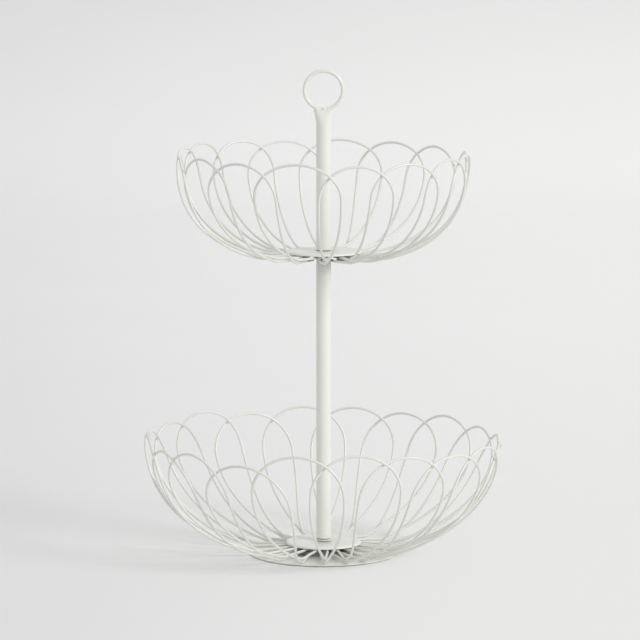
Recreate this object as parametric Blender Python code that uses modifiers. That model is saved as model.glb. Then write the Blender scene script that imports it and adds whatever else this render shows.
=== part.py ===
"""Two-tier wire stand: two bowls of woven wire petals on a round post with a ring handle.

Units are metres. The origin is on the table under the middle of the post, +Z is up, and the ring
handle lies in the XZ plane, facing -Y. Angles round the post start at -Y and grow towards +X.
"""

import math
from dataclasses import dataclass

import bmesh
import bpy
import numpy as np
from mathutils import Vector

# Fit between neighbours
GAP = 0.0003

# Wire of both bowls
WIRE_DIAMETER = 0.0024
CROWN_STEPS = 5
LEG_STEPS = 6
WEAVE_SHARE = 0.75

# Foot plate
FOOT_DIAMETER = 0.127
FOOT_BORE = 0.044
FOOT_THICKNESS = 0.0015
FOOT_EDGE_RADIUS = 0.0004
FOOT_STEP_HEIGHT = 0.0008
FOOT_STEP_DEPTH = 0.003

# Pressed discs over the wires
DISC_DIAMETER = 0.0645
DISC_HEIGHT = 0.002
DISC_SHEET = 0.0012
DISC_EDGE_RADIUS = 0.0015
LOWER_HUB_RISE = 0.0015
UPPER_HUB_RISE = -0.001

# Post
TUBE_DIAMETER = 0.0127
TUBE_WALL = 0.001
LOWER_POST_LENGTH = 0.2475
UPPER_POST_LENGTH = 0.119
COLLAR_DIAMETER = 0.0124
COLLAR_HEIGHT = 0.0017
COLLAR_NECK_DIAMETER = 0.0104
COLLAR_NECK_HEIGHT = 0.0003
PINCH_LENGTH = 0.0128
PINCH_WIDTH = 0.0168
PINCH_DRAW_POWER = 1.6
PINCH_CORNER_SHARE = 0.5
PINCH_STEPS = 4

# Ring handle
RING_DIAMETER = 0.0325
RING_WIRE = 0.0032
RING_BEAD = 0.0022
RING_DIP = 0.0006

# Threaded joints
THREAD_DIAMETER = 0.006
PLUG_LENGTH = 0.016
STUD_LENGTH = 0.026
SCREW_LENGTH = 0.018
SCREW_HEAD_DIAMETER = 0.011
SCREW_HEAD_HEIGHT = 0.003
SOCKET_WIDTH = 0.004
SOCKET_DEPTH = 0.0018
WASHER_DIAMETER = 0.016
WASHER_THICKNESS = 0.0012
CHAMFER = 0.0005

# Heights that follow from the stack of pieces
LAYER_LIFT = (WIRE_DIAMETER + GAP) / 2
LOWER_BEND_Z = FOOT_THICKNESS + GAP + WIRE_DIAMETER / 2 + LAYER_LIFT
LOWER_DISC_Z = LOWER_BEND_Z + LAYER_LIFT + WIRE_DIAMETER / 2 + LOWER_HUB_RISE + GAP
COLLAR_Z = LOWER_DISC_Z + DISC_HEIGHT + GAP
LOWER_POST_Z = COLLAR_Z + COLLAR_HEIGHT + GAP
LOWER_POST_TOP = LOWER_POST_Z + LOWER_POST_LENGTH
UPPER_DISC_Z = LOWER_POST_TOP + GAP + DISC_SHEET - DISC_HEIGHT
UPPER_BEND_Z = UPPER_DISC_Z - GAP - WIRE_DIAMETER / 2 - LAYER_LIFT - UPPER_HUB_RISE
UPPER_POST_Z = UPPER_DISC_Z + DISC_HEIGHT + GAP
MOUTH_Z = UPPER_POST_Z + UPPER_POST_LENGTH
RING_Z = MOUTH_Z - RING_DIP + (RING_WIRE + RING_DIAMETER) / 2
BORE_DIAMETER = THREAD_DIAMETER + 2 * GAP

# Facets of the turned and bent pieces
ROUND_STEPS = 28
POST_STEPS = 20
SMALL_STEPS = 12
EDGE_STEPS = 3
RING_STEPS = 36
RING_WIRE_STEPS = 8
BEAD_STEPS = 8
WALL_SAMPLES = 121
MERGE_DISTANCE = 0.00001

IVORY_COLOR = (0.82, 0.82, 0.78)
ZINC_COLOR = (0.6, 0.61, 0.62)


@dataclass(frozen=True)
class Bowl:
    """One bowl: its petal count, the shape of its wall and the outline of a petal laid on it."""

    name: str
    petals: int
    bend_z: float
    hub_rise: float
    inner_radius: float
    bend_radius: float
    rim_radius: float
    depth: float
    start_angle: float
    rim_angle: float
    start_share: float
    rim_share: float
    petal_half_width: float
    crown_height: float
    splay: float


LOWER_BOWL = Bowl(
    name="lower",
    petals=20,
    bend_z=LOWER_BEND_Z,
    hub_rise=LOWER_HUB_RISE,
    inner_radius=0.018,
    bend_radius=0.0574,
    rim_radius=0.1512,
    depth=0.098,
    start_angle=math.radians(10),
    rim_angle=math.radians(94),
    start_share=0.335,
    rim_share=0.4,
    petal_half_width=0.0388,
    crown_height=0.0335,
    splay=0.195,
)
UPPER_BOWL = Bowl(
    name="upper",
    petals=16,
    bend_z=UPPER_BEND_Z,
    hub_rise=UPPER_HUB_RISE,
    inner_radius=0.018,
    bend_radius=0.0544,
    rim_radius=0.1217,
    depth=0.087,
    start_angle=math.radians(11),
    rim_angle=math.radians(99),
    start_share=0.418,
    rim_share=0.426,
    petal_half_width=0.0343,
    crown_height=0.028,
    splay=0.35,
)

# Each petal's turn as a share of the pitch, its extra length as a share of its crown height, and
# its extra width as a share of its half width
LOWER_TURN_SHARES = (
    0.08, -0.02, 0.04, -0.02, 0.26, -0.1, -0.14, -0.08, -0.1, -0.1,
    -0.12, -0.06, -0.02, -0.04, 0.16, -0.08, 0.02, -0.12, 0.02, 0.02,
)
LOWER_REACH_SHARES = (
    0.2, 0.1, 0, 0.02, -0.14, -0.1, -0.1, 0, -0.06, 0.02,
    0.04, -0.08, 0.1, -0.02, 0.02, 0.14, -0.08, 0.02, -0.12, 0.18,
)
LOWER_WIDTH_SHARES = (
    -0.02, 0, 0.04, 0, 0, 0.06, 0.08, 0.02, -0.02, -0.02,
    -0.04, -0.04, -0.04, -0.04, 0.04, 0.06, 0.06, -0.02, 0.02, 0,
)
UPPER_TURN_SHARES = (
    0.08, 0.04, 0.14, 0, -0.16, 0.14, 0.14, 0.16,
    0.22, 0.1, 0.18, 0, -0.26, -0.04, -0.08, 0.02,
)
UPPER_REACH_SHARES = (
    -0.06, -0.04, -0.02, 0, -0.02, -0.02, 0.02, 0.06,
    0.02, 0.08, 0.12, 0.08, -0.08, 0, -0.04, 0,
)
UPPER_WIDTH_SHARES = (
    -0.08, -0.02, -0.08, 0.04, -0.02, 0.04, 0.02, 0.08,
    0, -0.08, -0.14, 0.02, 0, 0.1, 0.04, 0.08,
)


def clear_scene():
    """Remove every object that the file starts with."""
    for obj in list(bpy.data.objects):
        bpy.data.objects.remove(obj, do_unlink=True)


def add_collection(name):
    """Add a collection to the scene."""
    collection = bpy.data.collections.new(name)
    bpy.context.scene.collection.children.link(collection)
    return collection


def add_material(name, color, roughness, metallic=0.0, coat=0.0):
    """Make a Principled BSDF material."""
    material = bpy.data.materials.new(name)
    material.use_nodes = True
    shader = material.node_tree.nodes["Principled BSDF"]
    shader.inputs["Base Color"].default_value = (*color, 1.0)
    shader.inputs["Roughness"].default_value = roughness
    shader.inputs["Metallic"].default_value = metallic
    shader.inputs["Coat Weight"].default_value = coat
    material.diffuse_color = (*color, 1.0)
    return material


def add_empty(name, collection, height, parent=None):
    """Add an empty on the post's axis, which carries a group of pieces."""
    empty = bpy.data.objects.new(name, None)
    collection.objects.link(empty)
    empty.parent = parent
    empty.location.z = height
    return empty


def add_object(name, data, collection, material, parent, height):
    """Add a piece on the post's axis, at a height above its parent."""
    obj = bpy.data.objects.new(name, data)
    collection.objects.link(obj)
    obj.data.materials.append(material)
    obj.parent = parent
    obj.location.z = height
    return obj


def arc(center, radius, start, end, steps):
    """Points (radius, height) of an arc, both ends included."""
    angles = [start + (end - start) * step / steps for step in range(steps + 1)]
    return [(center[0] + radius * math.cos(a), center[1] + radius * math.sin(a)) for a in angles]


def turned(name, outline, steps, collection, material, parent, height):
    """Turn an outline of (radius, height) points round the post's axis with a Screw modifier.

    The outline runs clockwise. It is closed unless both of its ends lie on the axis.
    """
    mesh = bpy.data.meshes.new(name)
    build = bmesh.new()
    points = [build.verts.new((radius, 0, z)) for radius, z in outline]
    for first, second in zip(points, points[1:]):
        build.edges.new((first, second))
    if outline[0][0] > 0:
        build.edges.new((points[-1], points[0]))
    build.to_mesh(mesh)
    build.free()
    obj = add_object(name, mesh, collection, material, parent, height)
    screw = obj.modifiers.new("turn", "SCREW")
    screw.angle = math.tau
    screw.steps = steps
    screw.render_steps = steps
    screw.use_merge_vertices = True
    screw.merge_threshold = MERGE_DISTANCE
    screw.use_smooth_shade = True
    obj.modifiers.new("flat_faces", "WEIGHTED_NORMAL")
    return obj


def tube_outline(outer, inner, length):
    """Outline of a plain tube or washer that stands on z = 0."""
    return [(inner, length), (outer, length), (outer, 0), (inner, 0)]


def cut(obj, cutter, operation):
    """Apply another object to this one with an exact Boolean modifier."""
    boolean = obj.modifiers.new(cutter.name, "BOOLEAN")
    boolean.object = cutter
    boolean.operation = operation
    boolean.solver = "EXACT"
    cutter.hide_render = True
    cutter.display_type = "WIRE"


def wall_of(bowl, samples=WALL_SAMPLES):
    """Middle line of a bowl's wall, from its bend to its rim: arc length, radius, height, slope."""
    start = np.array([bowl.bend_radius, 0.0])
    rim = np.array([bowl.rim_radius, bowl.depth])
    chord = np.linalg.norm(rim - start)
    leave = np.array([math.cos(bowl.start_angle), math.sin(bowl.start_angle)])
    arrive = np.array([math.cos(bowl.rim_angle), math.sin(bowl.rim_angle)])
    near = start + bowl.start_share * chord * leave
    far = rim - bowl.rim_share * chord * arrive
    t = np.linspace(0, 1, samples)[:, None]
    line = (1 - t) ** 3 * start + 3 * t * (1 - t) ** 2 * near
    line += 3 * t**2 * (1 - t) * far + t**3 * rim
    steps = np.diff(line, axis=0)
    lengths = np.concatenate([[0], np.cumsum(np.linalg.norm(steps, axis=1))])
    heading = (1 - t) ** 2 * (near - start) + 2 * t * (1 - t) * (far - near) + t**2 * (rim - far)
    return lengths, line[:, 0], line[:, 1], np.arctan2(heading[:, 1], heading[:, 0])


def half_outline(bowl, length, half_width):
    """One side of a petal laid flat, as (distance past the bend, half width) from its inner end."""
    pitch = math.tau / bowl.petals
    bend_width = bowl.bend_radius * pitch / 2
    disc_radius = DISC_DIAMETER / 2
    points = [
        (bowl.inner_radius - bowl.bend_radius, bowl.inner_radius * pitch / 4),
        (disc_radius - bowl.bend_radius, disc_radius * pitch / 4),
    ]
    run = length - bowl.crown_height
    grow = half_width - bend_width
    for step in range(LEG_STEPS):
        t = step / LEG_STEPS
        ease = t * t * (3 - 2 * t)
        start = t * (1 - t) ** 2
        points.append((run * t, bend_width + grow * ease + bowl.splay * run * start))
    for step in range(CROWN_STEPS + 1):
        turn = math.radians(90) * step / CROWN_STEPS
        points.append((run + bowl.crown_height * math.sin(turn), half_width * math.cos(turn)))
    return points


def petal_leg(bowl, reach, widest, side):
    """Points of one side of a petal, from its inner end to the crown's top.

    The side towards larger angles (+1) lies in the outer layer of wires and the other (-1) in the
    inner layer, so that each petal passes over one neighbour and under the other. The wire changes
    layers over the crown.
    """
    lengths, radii, heights, slopes = wall_of(bowl)
    half_pitch = math.pi / bowl.petals
    points = []
    for distance, half_width in half_outline(bowl, lengths[-1] + reach, widest):
        beyond = max(0, distance - lengths[-1])
        slope = np.interp(distance, lengths, slopes)
        if distance < 0:
            radius = bowl.bend_radius + distance
            height = bowl.hub_rise * min(1, distance / (DISC_DIAMETER / 2 - bowl.bend_radius))
            slope = 0
            woven = 1
        else:
            radius = np.interp(distance, lengths, radii) + beyond * math.cos(bowl.rim_angle)
            height = np.interp(distance, lengths, heights) + beyond * math.sin(bowl.rim_angle)
            woven = min(1, half_width / (radius * half_pitch * WEAVE_SHARE))
        angle = half_width / radius
        lift = side * LAYER_LIFT * math.sin(math.radians(90) * woven)
        reached = radius + lift * math.sin(slope)
        points.append(
            Vector(
                (
                    side * reached * math.sin(angle),
                    -reached * math.cos(angle),
                    height - lift * math.cos(slope),
                )
            )
        )
    return points


def petal(bowl, index, shares, collection, material, parent):
    """One bent wire: out from the hub, over the crown and back."""
    turn_share, reach_share, width_share = shares
    reach = reach_share * bowl.crown_height
    widest = (1 + width_share) * bowl.petal_half_width
    outer = petal_leg(bowl, reach, widest, 1)
    inner = petal_leg(bowl, reach, widest, -1)
    route = outer[:-1] + inner[::-1]
    curve = bpy.data.curves.new(f"{bowl.name}_petal", "CURVE")
    curve.dimensions = "3D"
    curve.bevel_depth = WIRE_DIAMETER / 2
    curve.bevel_resolution = 1
    curve.use_fill_caps = True
    spline = curve.splines.new("POLY")
    spline.points.add(len(route) - 1)
    for point, place in zip(spline.points, route):
        point.co = (*place, 1)
    name = f"{bowl.name}_petal_{index + 1:02d}"
    obj = add_object(name, curve, collection, material, parent, 0)
    obj.rotation_euler.z = math.tau * (index + 0.5 + turn_share) / bowl.petals
    return obj


def wire_bowl(bowl, tables, collection, material, parent):
    """All petals of one bowl, hung on an empty at the height of the bend."""
    hub = add_empty(f"{bowl.name}_bowl", collection, bowl.bend_z, parent)
    for index in range(bowl.petals):
        shares = [table[index % len(table)] for table in tables]
        petal(bowl, index, shares, collection, material, hub)


def pressed_disc(name, collection, material, parent, height):
    """Flat cap with a rounded, turned-down rim and a hole for the screw or the stud."""
    outer = DISC_DIAMETER / 2
    edge = DISC_EDGE_RADIUS
    inside = edge - DISC_SHEET
    center = (outer - edge, DISC_HEIGHT - edge)
    outline = [(BORE_DIAMETER / 2, DISC_HEIGHT)]
    outline += arc(center, edge, math.radians(90), 0, EDGE_STEPS)
    outline += [(outer, 0), (outer - DISC_SHEET, 0)]
    outline += arc(center, inside, 0, math.radians(90), 1)
    outline += [(BORE_DIAMETER / 2, DISC_HEIGHT - DISC_SHEET)]
    return turned(name, outline, ROUND_STEPS, collection, material, parent, height)


def foot_plate(collection, material, parent):
    """Flat ring under the wires of the lower bowl, whose rim is stepped clear of the table."""
    outer = FOOT_DIAMETER / 2
    edge = FOOT_EDGE_RADIUS
    outline = [(FOOT_BORE / 2, FOOT_THICKNESS)]
    outline += arc((outer - edge, FOOT_THICKNESS - edge), edge, math.radians(90), 0, 1)
    outline += [(outer, FOOT_STEP_HEIGHT), (outer - FOOT_STEP_DEPTH, FOOT_STEP_HEIGHT)]
    outline += [(outer - FOOT_STEP_DEPTH, 0), (FOOT_BORE / 2, 0)]
    return turned("foot_plate", outline, ROUND_STEPS, collection, material, parent, 0)


def lower_post(collection, material, parent):
    """Tube between the two bowls."""
    outline = tube_outline(TUBE_DIAMETER / 2, TUBE_DIAMETER / 2 - TUBE_WALL, LOWER_POST_LENGTH)
    return turned("lower_post", outline, POST_STEPS, collection, material, parent, LOWER_POST_Z)


def post_collar(collection, material, parent):
    """Thin collar between the lower disc and the lower tube, with a slimmer neck at each end."""
    inner, neck, outer = BORE_DIAMETER / 2, COLLAR_NECK_DIAMETER / 2, COLLAR_DIAMETER / 2
    rim_top = COLLAR_HEIGHT - COLLAR_NECK_HEIGHT
    outline = [(inner, COLLAR_HEIGHT), (neck, COLLAR_HEIGHT), (neck, rim_top), (outer, rim_top)]
    outline += [(outer, COLLAR_NECK_HEIGHT), (neck, COLLAR_NECK_HEIGHT), (neck, 0), (inner, 0)]
    return turned("post_collar", outline, POST_STEPS, collection, material, parent, COLLAR_Z)


def signed_power(value, power):
    """Raise a value's size to a power and keep its sign."""
    return math.copysign(abs(value) ** power, value)


def pinch_section(build, share, height):
    """One section of the upper tube: round where share is 0, drawn wide and flat where it is 1."""
    tube = TUBE_DIAMETER / 2
    mouth_depth = RING_WIRE + 2 * (GAP + TUBE_WALL)
    across = tube + share * (PINCH_WIDTH / 2 - tube)
    deep = tube + share * (mouth_depth / 2 - tube)
    power = 1 + share * (PINCH_CORNER_SHARE - 1)
    section = []
    for step in range(POST_STEPS):
        angle = math.tau * step / POST_STEPS
        x = across * signed_power(math.cos(angle), power)
        y = deep * signed_power(math.sin(angle), power)
        section.append(build.verts.new((x, y, height)))
    return section


def upper_post(collection, material, parent):
    """Tube over the upper disc, lofted to a flat mouth that grips the ring's wire."""
    build = bmesh.new()
    sections = [pinch_section(build, 0, 0)]
    for step in range(PINCH_STEPS + 1):
        drawn = step / PINCH_STEPS
        height = UPPER_POST_LENGTH - PINCH_LENGTH * (1 - drawn)
        sections.append(pinch_section(build, drawn**PINCH_DRAW_POWER, height))
    for low, high in zip(sections, sections[1:]):
        for step in range(POST_STEPS):
            after = (step + 1) % POST_STEPS
            build.faces.new((low[step], low[after], high[after], high[step]))
    mesh = bpy.data.meshes.new("upper_post")
    build.to_mesh(mesh)
    build.free()
    mesh.shade_smooth()
    obj = add_object("upper_post", mesh, collection, material, parent, UPPER_POST_Z)
    wall = obj.modifiers.new("wall", "SOLIDIFY")
    wall.thickness = TUBE_WALL
    wall.offset = -1
    wall.use_even_offset = True
    return obj


def ring_handle(collection, cutters, material, parent):
    """Closed wire ring with the small bead of its weld on the inside, over the pinched mouth."""
    bpy.ops.mesh.primitive_torus_add(
        major_radius=RING_DIAMETER / 2,
        minor_radius=RING_WIRE / 2,
        major_segments=RING_STEPS,
        minor_segments=RING_WIRE_STEPS,
        rotation=(math.radians(90), 0, 0),
    )
    ring = bpy.context.active_object
    ring.name = "ring_handle"
    ring.data.shade_smooth()
    move_to(ring, collection)
    ring.data.materials.append(material)
    ring.parent = parent
    ring.location.z = RING_Z
    bpy.ops.mesh.primitive_uv_sphere_add(
        radius=RING_BEAD / 2, segments=BEAD_STEPS, ring_count=BEAD_STEPS // 2
    )
    bead = bpy.context.active_object
    bead.name = "weld_bead"
    bead.data.shade_smooth()
    move_to(bead, cutters)
    bead.parent = parent
    bead.location.z = RING_Z - (RING_DIAMETER - RING_WIRE) / 2
    cut(ring, bead, "UNION")
    return ring


def move_to(obj, collection):
    """Leave an object in one collection only."""
    for home in list(obj.users_collection):
        home.objects.unlink(obj)
    collection.objects.link(obj)


def threaded_plug(name, collection, material, parent, height):
    """Bored plug that closes a tube's end and takes the thread."""
    outer = TUBE_DIAMETER / 2 - TUBE_WALL - GAP
    outline = tube_outline(outer, BORE_DIAMETER / 2, PLUG_LENGTH)
    return turned(name, outline, SMALL_STEPS, collection, material, parent, height)


def joint_stud(collection, material, parent):
    """Stud that joins the two tubes through the upper disc."""
    half = STUD_LENGTH / 2
    radius = THREAD_DIAMETER / 2
    outline = [
        (0, half),
        (radius - CHAMFER, half),
        (radius, half - CHAMFER),
        (radius, CHAMFER - half),
        (radius - CHAMFER, -half),
        (0, -half),
    ]
    middle = UPPER_DISC_Z + DISC_HEIGHT - DISC_SHEET / 2
    return turned("joint_stud", outline, SMALL_STEPS, collection, material, parent, middle)


def base_screw(collection, cutters, material, parent, height):
    """Cap screw from beneath, through the lower disc and the collar into the lower tube."""
    radius = THREAD_DIAMETER / 2
    head = SCREW_HEAD_DIAMETER / 2
    outline = [
        (0, SCREW_LENGTH),
        (radius - CHAMFER, SCREW_LENGTH),
        (radius, SCREW_LENGTH - CHAMFER),
        (radius, 0),
        (head, 0),
        (head, CHAMFER - SCREW_HEAD_HEIGHT),
        (head - CHAMFER, -SCREW_HEAD_HEIGHT),
        (0, -SCREW_HEAD_HEIGHT),
    ]
    screw = turned("base_screw", outline, SMALL_STEPS, collection, material, parent, height)
    build = bmesh.new()
    corner = SOCKET_WIDTH / 2 / math.cos(math.radians(30))
    bmesh.ops.create_cone(
        build, cap_ends=True, segments=6, radius1=corner, radius2=corner, depth=2 * SOCKET_DEPTH
    )
    mesh = bpy.data.meshes.new("hex_socket")
    build.to_mesh(mesh)
    build.free()
    socket = add_object("hex_socket", mesh, cutters, material, parent, height - SCREW_HEAD_HEIGHT)
    cut(screw, socket, "DIFFERENCE")
    return screw


def base_washer(collection, material, parent, height):
    """Washer under the head of the base screw."""
    outline = tube_outline(WASHER_DIAMETER / 2, BORE_DIAMETER / 2, WASHER_THICKNESS)
    return turned("base_washer", outline, SMALL_STEPS, collection, material, parent, height)


def main():
    """Build the stand."""
    clear_scene()
    stand = add_collection("two_tier_wire_stand")
    cutters = add_collection("cutters")
    cutters.hide_render = True
    axis = add_empty("stand_axis", stand, 0)

    wire = add_material("wire_powder_coat", IVORY_COLOR, 0.38, coat=0.2)
    sheet = add_material("sheet_powder_coat", IVORY_COLOR, 0.3, coat=0.4)
    post = add_material("post_powder_coat", IVORY_COLOR, 0.35, coat=0.3)
    ring = add_material("ring_powder_coat", IVORY_COLOR, 0.35, coat=0.3)
    plated = add_material("zinc_plate", ZINC_COLOR, 0.35, metallic=1.0)

    lower_tables = (LOWER_TURN_SHARES, LOWER_REACH_SHARES, LOWER_WIDTH_SHARES)
    upper_tables = (UPPER_TURN_SHARES, UPPER_REACH_SHARES, UPPER_WIDTH_SHARES)
    wire_bowl(LOWER_BOWL, lower_tables, stand, wire, axis)
    wire_bowl(UPPER_BOWL, upper_tables, stand, wire, axis)
    foot_plate(stand, sheet, axis)
    pressed_disc("lower_disc", stand, sheet, axis, LOWER_DISC_Z)
    pressed_disc("upper_disc", stand, sheet, axis, UPPER_DISC_Z)
    post_collar(stand, post, axis)
    lower_post(stand, post, axis)
    upper_post(stand, post, axis)
    ring_handle(stand, cutters, ring, axis)

    threaded_plug("lower_post_base_plug", stand, plated, axis, LOWER_POST_Z)
    threaded_plug("lower_post_top_plug", stand, plated, axis, LOWER_POST_TOP - PLUG_LENGTH)
    threaded_plug("upper_post_plug", stand, plated, axis, UPPER_POST_Z)
    joint_stud(stand, plated, axis)
    washer_z = LOWER_DISC_Z + DISC_HEIGHT - DISC_SHEET - GAP - WASHER_THICKNESS
    base_washer(stand, plated, axis, washer_z)
    base_screw(stand, cutters, plated, axis, washer_z - GAP)
    bpy.context.view_layer.update()


main()
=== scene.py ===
"""Two-tier wire stand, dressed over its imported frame.

Two bowls of woven wire petals sit on a round post: the lower one on a flat foot plate, the upper
one where the two tubes of the post meet. A pressed disc covers the wires of each bowl, and a ring
handle is gripped in the flattened mouth of the upper tube. Everything but the threaded pieces and
their washer is powder coated in ivory.

Lengths are metres. The origin is on the table under the middle of the post and +Z is up. Angles
round the post start at -Y, the front, and grow towards +X.
"""

import enum
import logging
from dataclasses import dataclass, field, replace
from functools import cache
from math import atan2, copysign, cos, hypot, pi, radians, sin, sqrt, tau
from typing import Callable, ClassVar, Sequence, Union

import bmesh
import bpy
import numpy as np
from bpy.types import Material, Node, NodeSocket, NodeTree, Object
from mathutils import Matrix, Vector


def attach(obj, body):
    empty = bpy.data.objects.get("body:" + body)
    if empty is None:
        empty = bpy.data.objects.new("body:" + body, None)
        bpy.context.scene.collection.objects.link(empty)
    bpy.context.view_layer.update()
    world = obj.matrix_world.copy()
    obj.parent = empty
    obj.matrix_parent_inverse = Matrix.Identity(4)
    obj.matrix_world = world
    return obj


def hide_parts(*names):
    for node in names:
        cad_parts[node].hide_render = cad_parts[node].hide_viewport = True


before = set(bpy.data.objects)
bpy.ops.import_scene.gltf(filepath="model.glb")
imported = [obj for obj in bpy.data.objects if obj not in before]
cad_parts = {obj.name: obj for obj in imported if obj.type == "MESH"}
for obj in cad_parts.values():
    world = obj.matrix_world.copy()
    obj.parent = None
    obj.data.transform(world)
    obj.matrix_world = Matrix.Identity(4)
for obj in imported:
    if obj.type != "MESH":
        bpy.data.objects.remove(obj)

LOG = logging.getLogger("two_tier_stand")

Triple = tuple[float, float, float]
Color = Triple
Value = Union[float, Color, NodeSocket]
Inputs = dict[Union[str, int], Value]
Outputs = bpy.types.bpy_prop_collection

GAP = 0.0003
WIRE_DIAMETER = 0.0022
LAYER_LIFT = 0.00135
TUBE_DIAMETER = 0.0127
TUBE_WALL = 0.001
DISC_DIAMETER = 0.0645
DISC_HEIGHT = 0.002
DISC_SHEET = 0.0012
LOWER_DISC_Z = 0.0087
UPPER_DISC_Z = 0.26
BORE_DIAMETER = 0.0066
RING_WIRE = 0.0032

SAME_PLACE = 0.00001
FLAT_SHARE = 0.999
RIM_SHARE = 0.98
SMOOTH_ANGLE = 35.0
LIP_SEGMENTS = 2

PATCH_LIMITS = (0.38, 0.66)
SPECK_LIMITS = (0.68, 0.8)
SPECK_DEPTH = 0.35
CLOUD_LIMITS = (0.3, 0.7)
DISC_SHADE = 0.0014


class Slot(enum.Enum):
    """Material slots that the record names."""

    POWDER_COAT = "powder_coat"
    ZINC_PLATE = "zinc_plate"


class Side(enum.Enum):
    """The two legs of a petal, and the layer of wires that each lies in."""

    OUTER = 1
    INNER = -1


class Part(enum.Enum):
    """The parts of a mesh that a test can pick in edit mode."""

    FACE = "faces"
    EDGE = "edges"
    VERT = "verts"


class Web:
    """A node tree that is being wired."""

    def __init__(self, tree: NodeTree) -> None:
        """Start on a tree."""
        self.tree = tree

    @classmethod
    def group(cls, name: str, inputs: Sequence[str], output: str) -> tuple["Web", Outputs]:
        """Start a shader node group.

        Args:
            name: Name of the group.
            inputs: Names of its inputs. One that ends in Color is a colour, the others are numbers.
            output: Name of its output, which follows the same rule.

        Returns:
            The group's web, and the sockets that give what its inputs are fed.
        """
        tree = bpy.data.node_groups.new(name, "ShaderNodeTree")
        for label, way in [*((label, "INPUT") for label in inputs), (output, "OUTPUT")]:
            kind = "NodeSocketColor" if label.endswith("Color") else "NodeSocketFloat"
            tree.interface.new_socket(label, in_out=way, socket_type=kind)
        return cls(tree), tree.nodes.new("NodeGroupInput").outputs

    def give(self, value: NodeSocket) -> NodeTree:
        """Make a value the output of a group, and return the group."""
        self.tree.links.new(value, self.tree.nodes.new("NodeGroupOutput").inputs[0])
        return self.tree

    def feed(self, node: Node, inputs: Inputs) -> Outputs:
        """Link or set some inputs of a node.

        Args:
            node: The node.
            inputs: A socket to link, or a number or colour to set, by the input's name or place.

        Returns:
            The node's outputs.
        """
        for label, value in inputs.items():
            if isinstance(value, NodeSocket):
                self.tree.links.new(value, node.inputs[label])
            elif isinstance(value, tuple):
                node.inputs[label].default_value = (*value, 1)
            else:
                node.inputs[label].default_value = value
        return node.outputs

    def add(self, kind: str, inputs: Inputs) -> Outputs:
        """Add a shader node of a kind, feed its inputs and return its outputs."""
        return self.feed(self.tree.nodes.new(f"ShaderNode{kind}"), inputs)

    def place(self, group: NodeTree, inputs: Inputs) -> NodeSocket:
        """Place a shared group, feed its inputs and return its output."""
        node = self.tree.nodes.new("ShaderNodeGroup")
        node.node_tree = group
        return self.feed(node, inputs)[0]

    def object_axes(self) -> Outputs:
        """Split Object coordinates into X, Y and Z."""
        return self.add("SeparateXYZ", {"Vector": self.add("TexCoord", {})["Object"]})

    def noise(self, scale: Value, detail: float, roughness: float = 0.5) -> NodeSocket:
        """Add a noise texture on Object coordinates.

        Args:
            scale: A number, or a socket that gives the scale.
            detail: Octaves of the noise.
            roughness: Share that each octave keeps of the last.

        Returns:
            The socket with the noise's value.
        """
        place = self.add("TexCoord", {})["Object"]
        inputs = {"Vector": place, "Scale": scale, "Detail": detail, "Roughness": roughness}
        return self.add("TexNoise", inputs)["Fac"]

    def remap(self, value: Value, limits: tuple[float, float], to_low: Value,
              to_high: Value) -> NodeSocket:
        """Map a value between two limits onto two others.

        Args:
            value: The value to map.
            limits: The values that give to_low and to_high.
            to_low: A number or a socket.
            to_high: A number or a socket.

        Returns:
            The socket with the mapped value.
        """
        return self.add("MapRange", {"Value": value, "From Min": limits[0], "From Max": limits[1],
                                     "To Min": to_low, "To Max": to_high})["Result"]

    def math(self, operation: str, first: Value, second: Value,
             clamped: bool = False) -> NodeSocket:
        """Combine two values with a Math node.

        Args:
            operation: Its operation.
            first: A number or a socket.
            second: A number or a socket.
            clamped: Whether the result stays between 0 and 1.

        Returns:
            The socket with the result.
        """
        node = self.tree.nodes.new("ShaderNodeMath")
        node.operation = operation
        node.use_clamp = clamped
        return self.feed(node, {0: first, 1: second})["Value"]

    def vector(self, operation: str, inputs: Inputs, output: str) -> NodeSocket:
        """Add a Vector Math node with an operation, feed it and return one of its outputs."""
        node = self.tree.nodes.new("ShaderNodeVectorMath")
        node.operation = operation
        return self.feed(node, inputs)[output]

    def mix(self, factor: Value, first: Value, second: Value) -> NodeSocket:
        """Mix two colours, by the share of the second, and return the mixed one."""
        node = self.tree.nodes.new("ShaderNodeMix")
        node.data_type = "RGBA"
        return self.feed(node, {"Factor": factor, 6: first, 7: second})[2]


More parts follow.
